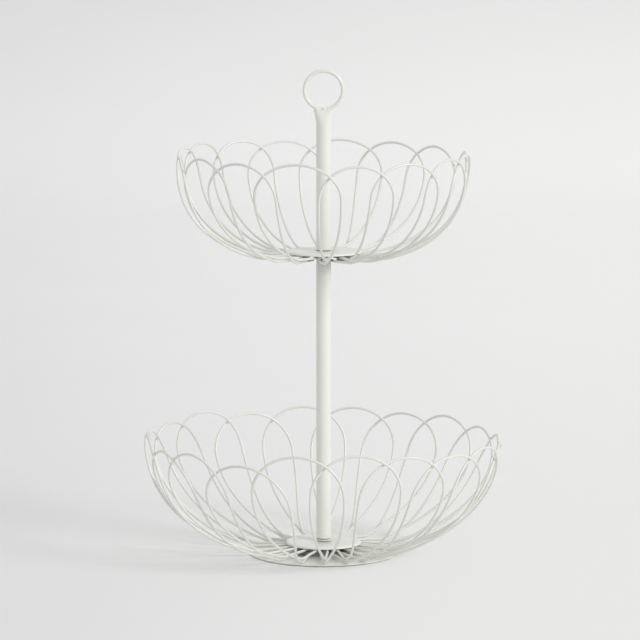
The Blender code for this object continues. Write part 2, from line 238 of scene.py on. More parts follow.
class NodeGroups:
    """The node groups that several finishes share, each built when it is first asked for."""

    @staticmethod
    @cache
    def tone_drift() -> NodeTree:
        """A colour that drifts to a second one in broad soft patches, with fine specks on top."""
        inputs = ("Color", "Drift Color", "Speck Color", "Patch Scale", "Speck Scale")
        web, given = Web.group("tone_drift", inputs, "Color")
        amount = web.remap(web.noise(given["Patch Scale"], 3), PATCH_LIMITS, 0.0, 1.0)
        drift = web.mix(amount, given["Color"], given["Drift Color"])
        grains = web.remap(web.noise(given["Speck Scale"], 1), SPECK_LIMITS, 0.0, SPECK_DEPTH)
        return web.give(web.mix(grains, drift, given["Speck Color"]))

    @staticmethod
    @cache
    def orange_peel() -> NodeTree:
        """Height of a sprayed and baked skin: soft dimples with a fine grain between them."""
        inputs = ("Dimple Scale", "Grain Scale", "Grain Share")
        web, given = Web.group("orange_peel", inputs, "Height")
        dimples = web.noise(given["Dimple Scale"], 1)
        grain = web.noise(given["Grain Scale"], 2)
        blend = web.add("Mix", {"Factor": given["Grain Share"], "A": dimples, "B": grain})
        return web.give(blend["Result"])

    @staticmethod
    @cache
    def gloss_drift() -> NodeTree:
        """Roughness that wanders between two limits, as a baked or handled skin does."""
        web, given = Web.group("gloss_drift", ("Low", "High", "Scale"), "Roughness")
        noise = web.noise(given["Scale"], 4, 0.6)
        return web.give(web.remap(noise, CLOUD_LIMITS, given["Low"], given["High"]))

    @staticmethod
    @cache
    def thin_coat() -> NodeTree:
        """Painted shade near the post's axis, below a given height, where other pieces shade it."""
        web, given = Web.group("thin_coat", ("Radius", "Fade", "Top"), "Mask")
        axes = web.object_axes()
        flat = web.add("CombineXYZ", {"X": axes["X"], "Y": axes["Y"]})["Vector"]
        reach = web.vector("LENGTH", {"Vector": flat}, "Value")
        depth = web.math("SUBTRACT", given["Radius"], reach)
        near = web.math("DIVIDE", depth, given["Fade"], clamped=True)
        below = web.math("LESS_THAN", axes["Z"], given["Top"])
        return web.give(web.math("MULTIPLY", near, below))


@dataclass(frozen=True)
class Finish:
    """What every finish shares: its name, its colours and how its surface wanders."""

    slot: ClassVar[Slot]

    name: str
    color: Color
    drift_color: Color
    speck_color: Color
    patch_scale: float = 22.0
    speck_scale: float = 1100.0
    rough_low: float = 0.3
    rough_high: float = 0.42
    rough_scale: float = 70.0
    dimple_scale: float = 900.0
    grain_scale: float = 3800.0
    grain_share: float = 0.25
    bump_strength: float = 0.1
    bump_distance: float = 0.0001

    def start(self) -> tuple[Material, Web, Node]:
        """Make the material and feed its colour, roughness and normal.

        Returns:
            The material, the web of its node tree and its Principled BSDF.
        """
        material = bpy.data.materials.new(self.name)
        material.use_nodes = True
        material.diffuse_color = (*self.color, 1)
        web = Web(material.node_tree)
        shader = material.node_tree.nodes["Principled BSDF"]
        tone = web.place(NodeGroups.tone_drift(), {
            "Color": self.color,
            "Drift Color": self.drift_color,
            "Speck Color": self.speck_color,
            "Patch Scale": self.patch_scale,
            "Speck Scale": self.speck_scale,
        })
        gloss = web.place(NodeGroups.gloss_drift(), {
            "Low": self.rough_low, "High": self.rough_high, "Scale": self.rough_scale
        })
        peel = web.place(NodeGroups.orange_peel(), {
            "Dimple Scale": self.dimple_scale,
            "Grain Scale": self.grain_scale,
            "Grain Share": self.grain_share,
        })
        bump = web.add("Bump", {
            "Strength": self.bump_strength, "Distance": self.bump_distance, "Height": peel
        })
        web.feed(shader, {"Base Color": tone, "Roughness": gloss, "Normal": bump["Normal"]})
        return material, web, shader


@dataclass(frozen=True)
class PowderCoat(Finish):
    """Satin ivory powder coat, baked on steel, with painted shade where other pieces shade it."""

    slot = Slot.POWDER_COAT

    coat: float = 0.25
    coat_roughness: float = 0.22
    specular: float = 0.5
    shade_color: Color = (0.25, 0.228, 0.172)
    shade_radius: float = 0.0
    shade_fade: float = 0.003
    shade_top: float = 1.0

    @cache
    def material(self) -> Material:
        """Make the material: a thin clear skin, and painted shade where other pieces shade it.

        Returns:
            The material, the same at each call.
        """
        material, web, shader = self.start()
        # Painted shade: the base colour is mixed towards a dark tone near the post's axis.
        if self.shade_radius > 0:
            mask = web.place(NodeGroups.thin_coat(), {
                "Radius": self.shade_radius, "Fade": self.shade_fade, "Top": self.shade_top
            })
            full = shader.inputs["Base Color"].links[0].from_socket
            web.feed(shader, {"Base Color": web.mix(mask, full, self.shade_color)})
        web.feed(shader, {
            "Coat Weight": self.coat,
            "Coat Roughness": self.coat_roughness,
            "Specular IOR Level": self.specular,
        })
        return material


@dataclass(frozen=True)
class ZincPlate(Finish):
    """Bright zinc on the threaded pieces, a little clouded."""

    slot = Slot.ZINC_PLATE

    metallic: float = 1.0

    @cache
    def material(self) -> Material:
        """Make the material, fully metallic.

        Returns:
            The material, the same at each call.
        """
        material, web, shader = self.start()
        web.feed(shader, {"Metallic": self.metallic})
        return material


IVORY_COLOR = (0.86, 0.868, 0.812)
IVORY_DRIFT = (0.845, 0.85, 0.785)
IVORY_SPECK = (0.76, 0.755, 0.7)

# Painted shade: the wires are darkened under each disc, near the post's axis.
# Painted shade: the wires get the post's ivory painted a little darker, standing in for the shade
# on the thin wires.
LOWER_WIRE_COAT = PowderCoat("lower_wire_powder_coat", (0.83, 0.838, 0.782),
                             (0.815, 0.82, 0.757), IVORY_SPECK, rough_low=0.3, rough_high=0.4,
                             bump_strength=0.14, coat=0.35, coat_roughness=0.2,
                             shade_radius=0.0278)
UPPER_WIRE_COAT = replace(LOWER_WIRE_COAT, name="upper_wire_powder_coat", shade_radius=0.0298)
# Painted light: the discs and the foot plate get the post's ivory painted a little paler, standing
# in for light on their upward faces.
SHEET_COAT = PowderCoat("sheet_powder_coat", (0.885, 0.893, 0.836), (0.87, 0.875, 0.81),
                        IVORY_SPECK, rough_low=0.28, rough_high=0.38, dimple_scale=700, coat=0.3,
                        coat_roughness=0.2)
# Painted shade: the foot plate is darkened under the lower disc.
PLATE_COAT = replace(SHEET_COAT, name="plate_powder_coat", shade_radius=0.0265)
# Painted shade: each disc is darkened on its underside.
LOWER_DISC_COAT = replace(SHEET_COAT, name="lower_disc_powder_coat", shade_radius=0.0305,
                          shade_top=LOWER_DISC_Z + DISC_SHADE)
UPPER_DISC_COAT = replace(LOWER_DISC_COAT, name="upper_disc_powder_coat",
                          shade_top=UPPER_DISC_Z + DISC_SHADE)
POST_COAT = PowderCoat("post_powder_coat", IVORY_COLOR, IVORY_DRIFT, IVORY_SPECK,
                       rough_low=0.32, rough_high=0.42, dimple_scale=650)
# Painted shade: the collar is darkened in its necks, in the seams at its ends.
COLLAR_COAT = replace(POST_COAT, name="collar_powder_coat", shade_radius=0.0058, shade_fade=0.0004)
# Painted shade: each tube's lower end is darkened, in its seam.
LOWER_POST_COAT = replace(POST_COAT, name="lower_post_powder_coat", shade_radius=0.01,
                          shade_top=0.01335)
UPPER_POST_COAT = replace(POST_COAT, name="upper_post_powder_coat", shade_radius=0.01,
                          shade_top=0.26265)
RING_COAT = PowderCoat("ring_powder_coat", IVORY_COLOR, IVORY_DRIFT, IVORY_SPECK,
                       rough_low=0.3, rough_high=0.4, coat=0.3)
BRIGHT_ZINC = ZincPlate("zinc_plate", (0.62, 0.63, 0.64), (0.53, 0.54, 0.55), (0.42, 0.42, 0.41),
                        patch_scale=160, speck_scale=1600, rough_low=0.26, rough_high=0.42,
                        rough_scale=300, bump_strength=0.2, bump_distance=0.00005)


class Bench:
    """Modelling by hand: each call is a few steps in object or edit mode on the active piece."""

    @staticmethod
    def clear() -> None:
        """Leave edit mode and deselect everything."""
        if bpy.context.object and bpy.context.object.mode != "OBJECT":
            bpy.ops.object.mode_set(mode="OBJECT")
        bpy.ops.object.select_all(action="DESELECT")

    @staticmethod
    def edit() -> None:
        """Enter edit mode with nothing selected."""
        bpy.ops.object.mode_set(mode="EDIT")
        bpy.ops.mesh.select_all(action="DESELECT")

    @staticmethod
    def done() -> None:
        """Go back to object mode."""
        bpy.ops.object.mode_set(mode="OBJECT")

    @classmethod
    def take(cls, piece: Object) -> None:
        """Make a piece the only selected one and the active one."""
        cls.clear()
        piece.select_set(True)
        bpy.context.view_layer.objects.active = piece

    @staticmethod
    def pick(part: Part, wanted: Callable[..., bool]) -> None:
        """Select exactly the parts that a test accepts, in edit mode.

        Args:
            part: Which parts of the mesh are tested.
            wanted: The test, which gets one part at a time.
        """
        bpy.ops.mesh.select_mode(type=part.name)
        bpy.ops.mesh.select_all(action="DESELECT")
        mesh = bpy.context.object.data
        form = bmesh.from_edit_mesh(mesh)
        parts = {Part.FACE: form.faces, Part.EDGE: form.edges, Part.VERT: form.verts}
        for element in parts[part]:
            element.select_set(wanted(element))
        if part is Part.VERT:
            form.select_flush(True)
        bmesh.update_edit_mesh(mesh)

    @staticmethod
    def score(heights: Sequence[float]) -> None:
        """Cut a ring of edges into the piece at each height, in edit mode."""
        for height in heights:
            bpy.ops.mesh.select_all(action="SELECT")
            bpy.ops.mesh.bisect(plane_co=(0, 0, height), plane_no=(0, 0, 1))

    @staticmethod
    def draw_out(height: float) -> None:
        """Extrude the selection upwards, in edit mode."""
        bpy.ops.mesh.extrude_region_move(TRANSFORM_OT_translate={"value": (0, 0, height)})

    @staticmethod
    def draw_in(share: float) -> None:
        """Scale the selection's distance from the post's axis, in edit mode."""
        bpy.ops.transform.resize(value=(share, share, 1), center_override=(0, 0, 0))

    @staticmethod
    def apply_modifiers(piece: Object) -> None:
        """Apply every modifier of the active piece, first to last."""
        for modifier in list(piece.modifiers):
            bpy.ops.object.modifier_apply(modifier=modifier.name)

    @classmethod
    def thicken(cls, piece: Object, thickness: float, lip_width: float, lip_angle: float) -> None:
        """Give an open surface its sheet, inwards, and soften the sheet's edges.

        Args:
            piece: The active object, in object mode.
            thickness: Thickness of the sheet.
            lip_width: Width of the bevel on its edges.
            lip_angle: Edges with a larger angle than this are bevelled, in degrees.
        """
        sheet = piece.modifiers.new("sheet", "SOLIDIFY")
        sheet.thickness = thickness
        sheet.offset = -1
        sheet.use_even_offset = True
        lip = piece.modifiers.new("lip", "BEVEL")
        lip.width = lip_width
        lip.segments = LIP_SEGMENTS
        lip.limit_method = "ANGLE"
        lip.angle_limit = radians(lip_angle)
        cls.apply_modifiers(piece)

    @classmethod
    def combine(cls, piece: Object, tool: Object, operation: str) -> None:
        """Add a tool's volume to a piece or cut it away, and drop the tool.

        Args:
            piece: The object that stays.
            tool: The object that goes.
            operation: The Boolean modifier's operation.
        """
        cls.take(piece)
        boolean = piece.modifiers.new("combine", "BOOLEAN")
        boolean.object = tool
        boolean.operation = operation
        boolean.solver = "EXACT"
        cls.apply_modifiers(piece)
        bpy.data.objects.remove(tool)

    @classmethod
    def cylinder(cls, radius: float, low: float, high: float, sides: int,
                 caps: str = "NGON") -> Object:
        """Add a cylinder round the post's axis.

        Args:
            radius: Its radius.
            low: Height of its lower end.
            high: Height of its upper end.
            sides: Faces round it.
            caps: How its ends are filled.

        Returns:
            The object, in object mode, with its origin halfway up.
        """
        cls.clear()
        bpy.ops.mesh.primitive_cylinder_add(
            vertices=sides,
            radius=radius,
            depth=high - low,
            end_fill_type=caps,
            location=(0, 0, (low + high) / 2),
        )
        return bpy.context.object

    @classmethod
    def finish(cls, piece: Object, node: str, form: str, finish: Finish,
               smooth_angle: float = SMOOTH_ANGLE) -> None:
        """Put a piece's place in its mesh, give it its finish and hang it on the stand.

        Args:
            piece: The modelled object, in object mode.
            node: The frame node that it stands for.
            form: What its name says after the node's.
            finish: Its finish.
            smooth_angle: Edges up to this angle are shaded smooth, in degrees, or with 0 all are
                left as they are.
        """
        cls.take(piece)
        if smooth_angle:
            bpy.ops.object.shade_smooth_by_angle(angle=radians(smooth_angle))
        bpy.ops.object.transform_apply(location=True, rotation=True, scale=True)
        piece.name = piece.data.name = f"{node}_{form}"
        piece.data.materials.clear()
        piece.data.materials.append(finish.material())
        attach(piece, "root")
        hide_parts(node)
        LOG.info("%s: %d faces", piece.name, len(piece.data.polygons))


def is_cap(face: bmesh.types.BMFace) -> bool:
    """Whether a face lies flat."""
    return abs(face.normal.z) > FLAT_SHARE


def ring_radius(vert: bmesh.types.BMVert) -> float:
    """Distance of a vertex from the post's axis."""
    return hypot(vert.co.x, vert.co.y)


def on_rim(vert: bmesh.types.BMVert, radius: float) -> bool:
    """Whether a vertex lies on the outside of a piece of a given radius."""
    return ring_radius(vert) > RIM_SHARE * radius


def on_ring(edge: bmesh.types.BMEdge, radius: float, height: float) -> bool:
    """Whether an edge runs round the axis at a radius and a height of its object's space."""
    return all(
        abs(ring_radius(vert) - radius) < SAME_PLACE and abs(vert.co.z - height) < SAME_PLACE
        for vert in edge.verts
    )


def inset_for(step: float, sides: int) -> float:
    """Inset of a round face that brings its corners in by a given step."""
    return step * cos(pi / sides)


def bored_cylinder(radius: float, bore: float, low: float, high: float, sides: int) -> Object:
    """Turn a washer or a tube: a cylinder whose caps are inset and bridged into a bore.

    Args:
        radius: Outer radius.
        bore: Radius of the bore.
        low: Height of its lower face.
        high: Height of its upper face.
        sides: Faces round it.

    Returns:
        The object, in object mode, with its origin halfway up.
    """
    turned = Bench.cylinder(radius, low, high, sides)
    Bench.edit()
    Bench.pick(Part.FACE, is_cap)
    bpy.ops.mesh.inset(thickness=inset_for(radius - bore, sides), use_individual=True)
    bpy.ops.mesh.bridge_edge_loops()
    bpy.ops.mesh.select_all(action="SELECT")
    bpy.ops.mesh.normals_make_consistent(inside=False)
    Bench.done()
    return turned


def round_edges(rings: Sequence[tuple[float, float]], width: float, segments: int) -> None:
    """Bevel the edges that run round the axis of the active piece.

    Args:
        rings: Radius and height of each, in the piece's own space.
        width: Width of the bevel.
        segments: Segments of the bevel.
    """
    Bench.edit()
    Bench.pick(Part.EDGE, lambda edge: any(on_ring(edge, *ring) for ring in rings))
    bpy.ops.mesh.bevel(offset=width, segments=segments, affect="EDGES")
    Bench.done()


@dataclass
class WireBowl:
    """A bowl of woven petals: each is one wire from the hub, over a crown and back."""

    name: str
    petals: int
    bend_z: float
    hub_rise: float
    bend_radius: float
    rim_radius: float
    depth: float
    start_angle: float
    rim_angle: float
    start_share: float
    rim_share: float
    petal_half_width: float
    crown_height: float
    splay: float
    turn_shares: Sequence[float]
    reach_shares: Sequence[float]
    width_shares: Sequence[float]
    inner_radius: float = 0.018
    leg_steps: int = 11
    crown_steps: int = 9
    weave_share: float = 0.75
    flat_shares: Sequence[float] = (1.0, 0.55, 0.12)
    wall_samples: int = 241
    curve_steps: int = 3
    bevel_steps: int = 3
    wall: tuple[np.ndarray, ...] = field(init=False, repr=False)

    def __post_init__(self) -> None:
        """Read the bowl's wall, a curve from its bend to its rim, by arc length."""
        start = np.array([self.bend_radius, 0.0])
        rim = np.array([self.rim_radius, self.depth])
        chord = np.linalg.norm(rim - start)
        leave = np.array([cos(self.start_angle), sin(self.start_angle)])
        arrive = np.array([cos(self.rim_angle), sin(self.rim_angle)])
        near = start + self.start_share * chord * leave
        far = rim - self.rim_share * chord * arrive
        t = np.linspace(0, 1, self.wall_samples)[:, None]
        line = (1 - t) ** 3 * start + 3 * t * (1 - t) ** 2 * near
        line += 3 * t**2 * (1 - t) * far + t**3 * rim
        lengths = np.concatenate([[0], np.cumsum(np.linalg.norm(np.diff(line, axis=0), axis=1))])
        heading = (1 - t) ** 2 * (near - start) + 2 * t * (1 - t) * (far - near)
        heading += t**2 * (rim - far)
        slopes = np.arctan2(heading[:, 1], heading[:, 0])
        self.wall = (lengths, line[:, 0], line[:, 1], slopes)

    def outline(self, length: float, widest: float) -> list[tuple[float, float]]:
        """Lay one side of a petal flat.

        Args:
            length: Length of the petal past the bend.
            widest: Its half width under the crown.

        Returns:
            Points (distance past the bend, half width) from the inner end to the crown's top.
        """
        pitch = tau / self.petals
        bend_width = self.bend_radius * pitch / 2
        edge_radius = DISC_DIAMETER / 2
        edge = edge_radius - self.bend_radius
        edge_width = edge_radius * pitch / 4
        points = [(self.inner_radius - self.bend_radius, self.inner_radius * pitch / 4)]
        for share in self.flat_shares:
            points.append((edge * share, bend_width + (edge_width - bend_width) * share))
        run = length - self.crown_height
        for step in range(self.leg_steps):
            t = step / self.leg_steps
            ease = t * t * (3 - 2 * t)
            opening = self.splay * run * t * (1 - t) ** 2
            points.append((run * t, bend_width + (widest - bend_width) * ease + opening))
        for step in range(self.crown_steps + 1):
            turn = radians(90) * step / self.crown_steps
            points.append((run + self.crown_height * sin(turn), widest * cos(turn)))
        return points

    def leg(self, index: int, side: Side) -> list[Vector]:
        """Lay one leg of a petal on the bowl's wall, in its layer of the weave.

        Args:
            index: Number of the petal, from the front towards +X.
            side: Which leg.

        Returns:
            Points of the wire's middle, from its inner end to the crown's top.
        """
        lengths, radii, heights, slopes = self.wall
        reach = self.reach_shares[index] * self.crown_height
        widest = (1 + self.width_shares[index]) * self.petal_half_width
        half_pitch = pi / self.petals
        middle = tau * (index + 0.5 + self.turn_shares[index]) / self.petals
        points = []
        for distance, half_width in self.outline(lengths[-1] + reach, widest):
            beyond = max(0.0, distance - lengths[-1])
            slope = float(np.interp(distance, lengths, slopes))
            woven = 1.0
            if distance < 0:
                radius = self.bend_radius + distance
                flat = DISC_DIAMETER / 2 - self.bend_radius
                height = self.hub_rise * min(1.0, distance / flat)
                slope = 0.0
            else:
                radius = np.interp(distance, lengths, radii) + beyond * cos(self.rim_angle)
                height = np.interp(distance, lengths, heights) + beyond * sin(self.rim_angle)
                woven = min(1.0, half_width / (radius * half_pitch * self.weave_share))
            lift = side.value * LAYER_LIFT * sin(radians(90) * woven)
            angle = middle + side.value * half_width / radius
            reached = radius + lift * sin(slope)
            points.append(Vector((
                reached * sin(angle),
                -reached * cos(angle),
                self.bend_z + height - lift * cos(slope),
            )))
        return points

    def bend_wire(self, index: int) -> Object:
        """Draw one petal's wire point by point, thicken it and make it a mesh.

        Args:
            index: Number of the petal, from the front towards +X.

        Returns:
            The object, in object mode.
        """
        outer = self.leg(index, Side.OUTER)
        inner = self.leg(index, Side.INNER)
        route = outer[:-1] + inner[::-1]
        Bench.clear()
        bpy.ops.curve.primitive_bezier_curve_add(location=(0, 0, 0))
        wire = bpy.context.object
        bpy.ops.object.mode_set(mode="EDIT")
        bpy.ops.curve.select_all(action="SELECT")
        bpy.ops.curve.delete(type="VERT")
        for point in route:
            bpy.ops.curve.vertex_add(location=point)
        bpy.ops.curve.select_all(action="SELECT")
        bpy.ops.curve.handle_type_set(type="AUTOMATIC")
        Bench.done()
        wire.data.resolution_u = self.curve_steps
        wire.data.bevel_depth = WIRE_DIAMETER / 2
        wire.data.bevel_resolution = self.bevel_steps
        wire.data.use_fill_caps = True
        bpy.ops.object.convert(target="MESH")
        return bpy.context.object

    def build(self, coat: PowderCoat) -> None:
        """Bend every petal of the bowl and coat it.

        Args:
            coat: The powder coat of the wires.
        """
        for index in range(self.petals):
            name = f"{self.name}_petal_{index + 1:02d}"
            Bench.finish(self.bend_wire(index), name, "wire", coat, 0.0)


@dataclass
class PressedDisc:
    """A round cap pressed from sheet, with a soft turned-down rim and a hole for its thread."""

    name: str
    z: float
    coat: PowderCoat
    edge_radius: float = 0.0015
    edge_segments: int = 7
    lip_width: float = 0.0003
    lip_angle: float = 50.0
    sides: int = 96

    def build(self) -> None:
        """Press the disc: bevel a cylinder's top edge, open its underside, give it its sheet."""
        radius = DISC_DIAMETER / 2
        disc = Bench.cylinder(radius, self.z, self.z + DISC_HEIGHT, self.sides)
        round_edges([(radius, DISC_HEIGHT / 2)], self.edge_radius, self.edge_segments)
        Bench.edit()
        Bench.pick(Part.FACE, lambda face: is_cap(face) and face.normal.z < 0)
        bpy.ops.mesh.delete(type="FACE")
        Bench.pick(Part.FACE, is_cap)
        step = radius - self.edge_radius - BORE_DIAMETER / 2
        bpy.ops.mesh.inset(thickness=inset_for(step, self.sides))
        bpy.ops.mesh.delete(type="FACE")
        Bench.done()
        Bench.thicken(disc, DISC_SHEET, self.lip_width, self.lip_angle)
        Bench.finish(disc, self.name, "pressing", self.coat)


@dataclass
class FootPlate:
    """The flat ring that stands on the table, cut from sheet, its edges softened by the coat.

    The step's slope is the share of its height at which it starts.
    """

    radius: float = 0.0635
    bore: float = 0.022
    thickness: float = 0.0015
    edge_radius: float = 0.0004
    edge_segments: int = 4
    step_height: float = 0.0008
    step_depth: float = 0.003
    step_slope: float = 0.97
    sides: int = 128

    def build(self) -> None:
        """Cut the ring, step its rim clear of the table and soften its other edges."""
        plate = bored_cylinder(self.radius, self.bore, 0, self.thickness, self.sides)
        half = self.thickness / 2
        low = self.step_slope * self.step_height
        Bench.edit()
        Bench.score([self.step_height, low])
        top = (low + self.step_height) / 2 - half
        Bench.pick(Part.VERT, lambda vert: vert.co.z < top and on_rim(vert, self.radius))
        Bench.draw_in(1 - self.step_depth / self.radius)
        Bench.done()
        rings = [(self.radius, half), (self.bore, half), (self.bore, -half)]
        round_edges(rings, self.edge_radius, self.edge_segments)
        Bench.finish(plate, "foot_plate", "ring", PLATE_COAT)


@dataclass
class Post:
    """The post: a collar on the lower disc, the lower tube, and the upper tube with its mouth.

    The necks' slope is the share of the rim's height at which they are at full depth.
    """

    collar_z: float = 0.011
    collar_height: float = 0.0017
    collar_diameter: float = 0.0124
    collar_edge: float = 0.0003
    neck_diameter: float = 0.0104
    neck_height: float = 0.0004
    neck_slope: float = 1.04
    lower_z: float = 0.013
    lower_length: float = 0.2475
    upper_z: float = 0.2623
    upper_length: float = 0.119
    pinch_length: float = 0.0128
    pinch_width: float = 0.0168
    pinch_power: float = 1.6
    corner_share: float = 0.5
    lip_width: float = 0.0002
    lip_angle: float = 60.0
    mouth_smooth: float = 40.0
    edge_radius: float = 0.0004
    edge_segments: int = 3
    sides: int = 64
    pinch_steps: int = 14

    def build(self) -> None:
        """Make the three pieces of the post, from the bottom up."""
        self.build_collar()
        self.build_lower_tube()
        self.build_upper_tube()

    def build_collar(self) -> None:
        """Turn the thin collar, draw in a slimmer neck at each end and round its rim."""
        radius = self.collar_diameter / 2
        top = self.collar_z + self.collar_height
        collar = bored_cylinder(radius, BORE_DIAMETER / 2, self.collar_z, top, self.sides)
        half = self.collar_height / 2
        rim = half - self.neck_height
        neck = self.neck_slope * rim
        Bench.edit()
        Bench.score([top - half + height for height in (rim, -rim, neck, -neck)])
        end = (rim + neck) / 2
        Bench.pick(Part.VERT, lambda vert: abs(vert.co.z) > end and on_rim(vert, radius))
        Bench.draw_in(self.neck_diameter / self.collar_diameter)
        Bench.done()
        round_edges([(radius, rim), (radius, -rim)], self.collar_edge, self.edge_segments)
        Bench.finish(collar, "post_collar", "turned", COLLAR_COAT)

    def build_lower_tube(self) -> None:
        """Cut the lower tube and soften its two ends."""
        radius = TUBE_DIAMETER / 2
        top = self.lower_z + self.lower_length
        tube = bored_cylinder(radius, radius - TUBE_WALL, self.lower_z, top, self.sides)
        half = self.lower_length / 2
        round_edges([(radius, half), (radius, -half)], self.edge_radius, self.edge_segments)
        Bench.finish(tube, "lower_post", "tube", LOWER_POST_COAT)

    def build_upper_tube(self) -> None:
        """Draw the upper tube's end out ring by ring into a flat mouth, then give it its wall."""
        top = self.upper_z + self.upper_length - self.pinch_length
        tube = Bench.cylinder(TUBE_DIAMETER / 2, self.upper_z, top, self.sides, caps="NOTHING")
        turns = tube.data.attributes.new("turn", "FLOAT", "POINT")
        for vert in tube.data.vertices:
            turns.data[vert.index].value = atan2(vert.co.y, vert.co.x)
        Bench.edit()
        Bench.pick(Part.VERT, lambda vert: vert.co.z > 0)
        for step in range(1, self.pinch_steps + 1):
            Bench.draw_out(self.pinch_length / self.pinch_steps)
            self.shape_ring((step / self.pinch_steps) ** self.pinch_power)
        Bench.done()
        tube.data.attributes.remove(tube.data.attributes["turn"])
        Bench.thicken(tube, TUBE_WALL, self.lip_width, self.lip_angle)
        Bench.finish(tube, "upper_post", "tube", UPPER_POST_COAT, self.mouth_smooth)

    def shape_ring(self, drawn: float) -> None:
        """Draw the selected ring of vertices wide and flat.

        Args:
            drawn: 0 leaves it round and 1 gives it the mouth's rounded oblong.
        """
        radius = TUBE_DIAMETER / 2
        across = radius + drawn * (self.pinch_width / 2 - radius)
        deep = radius + drawn * ((RING_WIRE + 2 * (GAP + TUBE_WALL)) / 2 - radius)
        power = 1 + drawn * (self.corner_share - 1)
        mesh = bpy.context.object.data
        form = bmesh.from_edit_mesh(mesh)
        turn = form.verts.layers.float["turn"]
        for vert in form.verts:
            if vert.select:
                x, y = cos(vert[turn]), sin(vert[turn])
                vert.co.x = across * copysign(abs(x) ** power, x)
                vert.co.y = deep * copysign(abs(y) ** power, y)
        bmesh.update_edit_mesh(mesh)


@dataclass
class RingHandle:
    """A closed ring of thick wire, with a bead where its ends meet and a weld on each lip.

    The weld is a row of drops on each lip that follows the ring's curve in part and wanders in
    size and height. Drops that overlap are melted onto the ring in different rounds.
    """

    z: float = 0.39855
    diameter: float = 0.0325
    bead: float = 0.0024
    bead_shape: Triple = (1.15, 1.0, 0.9)
    bead_front: float = -0.0012
    bead_z: float = 0.3831
    mouth_z: float = 0.3813
    weld_aside: float = 0.0019
    weld_pitch: float = 0.0012
    weld_count: int = 12
    weld_rounds: int = 3
    weld_size: Triple = (0.00112, 0.00115, 0.00095)
    weld_follow: float = 0.4
    weld_stretch: float = 0.3
    size_wander: float = 0.2
    size_beat: float = 2.3
    height_wander: float = 0.0002
    height_beat: float = 4.1
    drop_sides: int = 20
    drop_rings: int = 14
    steps: int = 96
    wire_sides: int = 24
    smooth_angle: float = 50.0

    def build(self) -> None:
        """Spin the wire's section into a ring, melt its bead and welds onto it and coat it."""
        ring = self.spin_ring()
        size = tuple(share * self.bead / 2 for share in self.bead_shape)
        bead = self.add_drop((0, self.bead_front, self.bead_z), size)
        Bench.combine(ring, bead, "UNION")
        for first in range(self.weld_rounds):
            Bench.combine(ring, self.weld_drops(first), "UNION")
        Bench.finish(ring, "ring_handle", "wire", RING_COAT, self.smooth_angle)

    def spin_ring(self) -> Object:
        """Spin the section of the wire round the ring's middle and close it.

        Returns:
            The object, in object mode.
        """
        Bench.clear()
        bpy.ops.mesh.primitive_circle_add(vertices=self.wire_sides, radius=RING_WIRE / 2,
                                          location=(self.diameter / 2, 0, self.z))
        ring = bpy.context.object
        Bench.edit()
        bpy.ops.mesh.select_all(action="SELECT")
        bpy.ops.mesh.spin(steps=self.steps, angle=tau, center=(0, 0, self.z), axis=(0, 1, 0))
        bpy.ops.mesh.select_all(action="SELECT")
        bpy.ops.mesh.remove_doubles(threshold=SAME_PLACE)
        bpy.ops.mesh.normals_make_consistent(inside=False)
        Bench.done()
        return ring

    def add_drop(self, place: Triple, size: Triple) -> Object:
        """Add a drop of metal.

        Args:
            place: Its middle.
            size: Half of its width, depth and height.

        Returns:
            The object.
        """
        width, depth, height = size
        Bench.clear()
        bpy.ops.mesh.primitive_uv_sphere_add(
            segments=self.drop_sides, ring_count=self.drop_rings, radius=height, location=place
        )
        bpy.ops.transform.resize(value=(width / height, depth / height, 1))
        return bpy.context.object

    def weld_drops(self, first: int) -> Object:
        """Lay one round of weld drops between the ring and both lips of the mouth.

        Args:
            first: The round's first drop, counted from the left end of the row.

        Returns:
            The drops, which lie apart from each other, as one object.
        """
        drops = []
        radius = self.diameter / 2
        for place in range(first, self.weld_count, self.weld_rounds):
            aside = (place - (self.weld_count - 1) / 2) * self.weld_pitch
            rise = radius - sqrt(radius**2 - aside**2)
            for face in (-1, 1):
                uneven = 1 + self.size_wander * sin(self.size_beat * place + face)
                width, depth, height = (uneven * length for length in self.weld_size)
                wander = self.height_wander * sin(self.height_beat * place - face)
                middle = self.mouth_z + self.weld_follow * rise + wander
                size = (width, depth, height + self.weld_stretch * rise)
                drops.append(self.add_drop((aside, face * self.weld_aside, middle), size))
        Bench.clear()
        for drop in drops:
            drop.select_set(True)
        bpy.context.view_layer.objects.active = drops[0]
        bpy.ops.object.join()
        return bpy.context.object


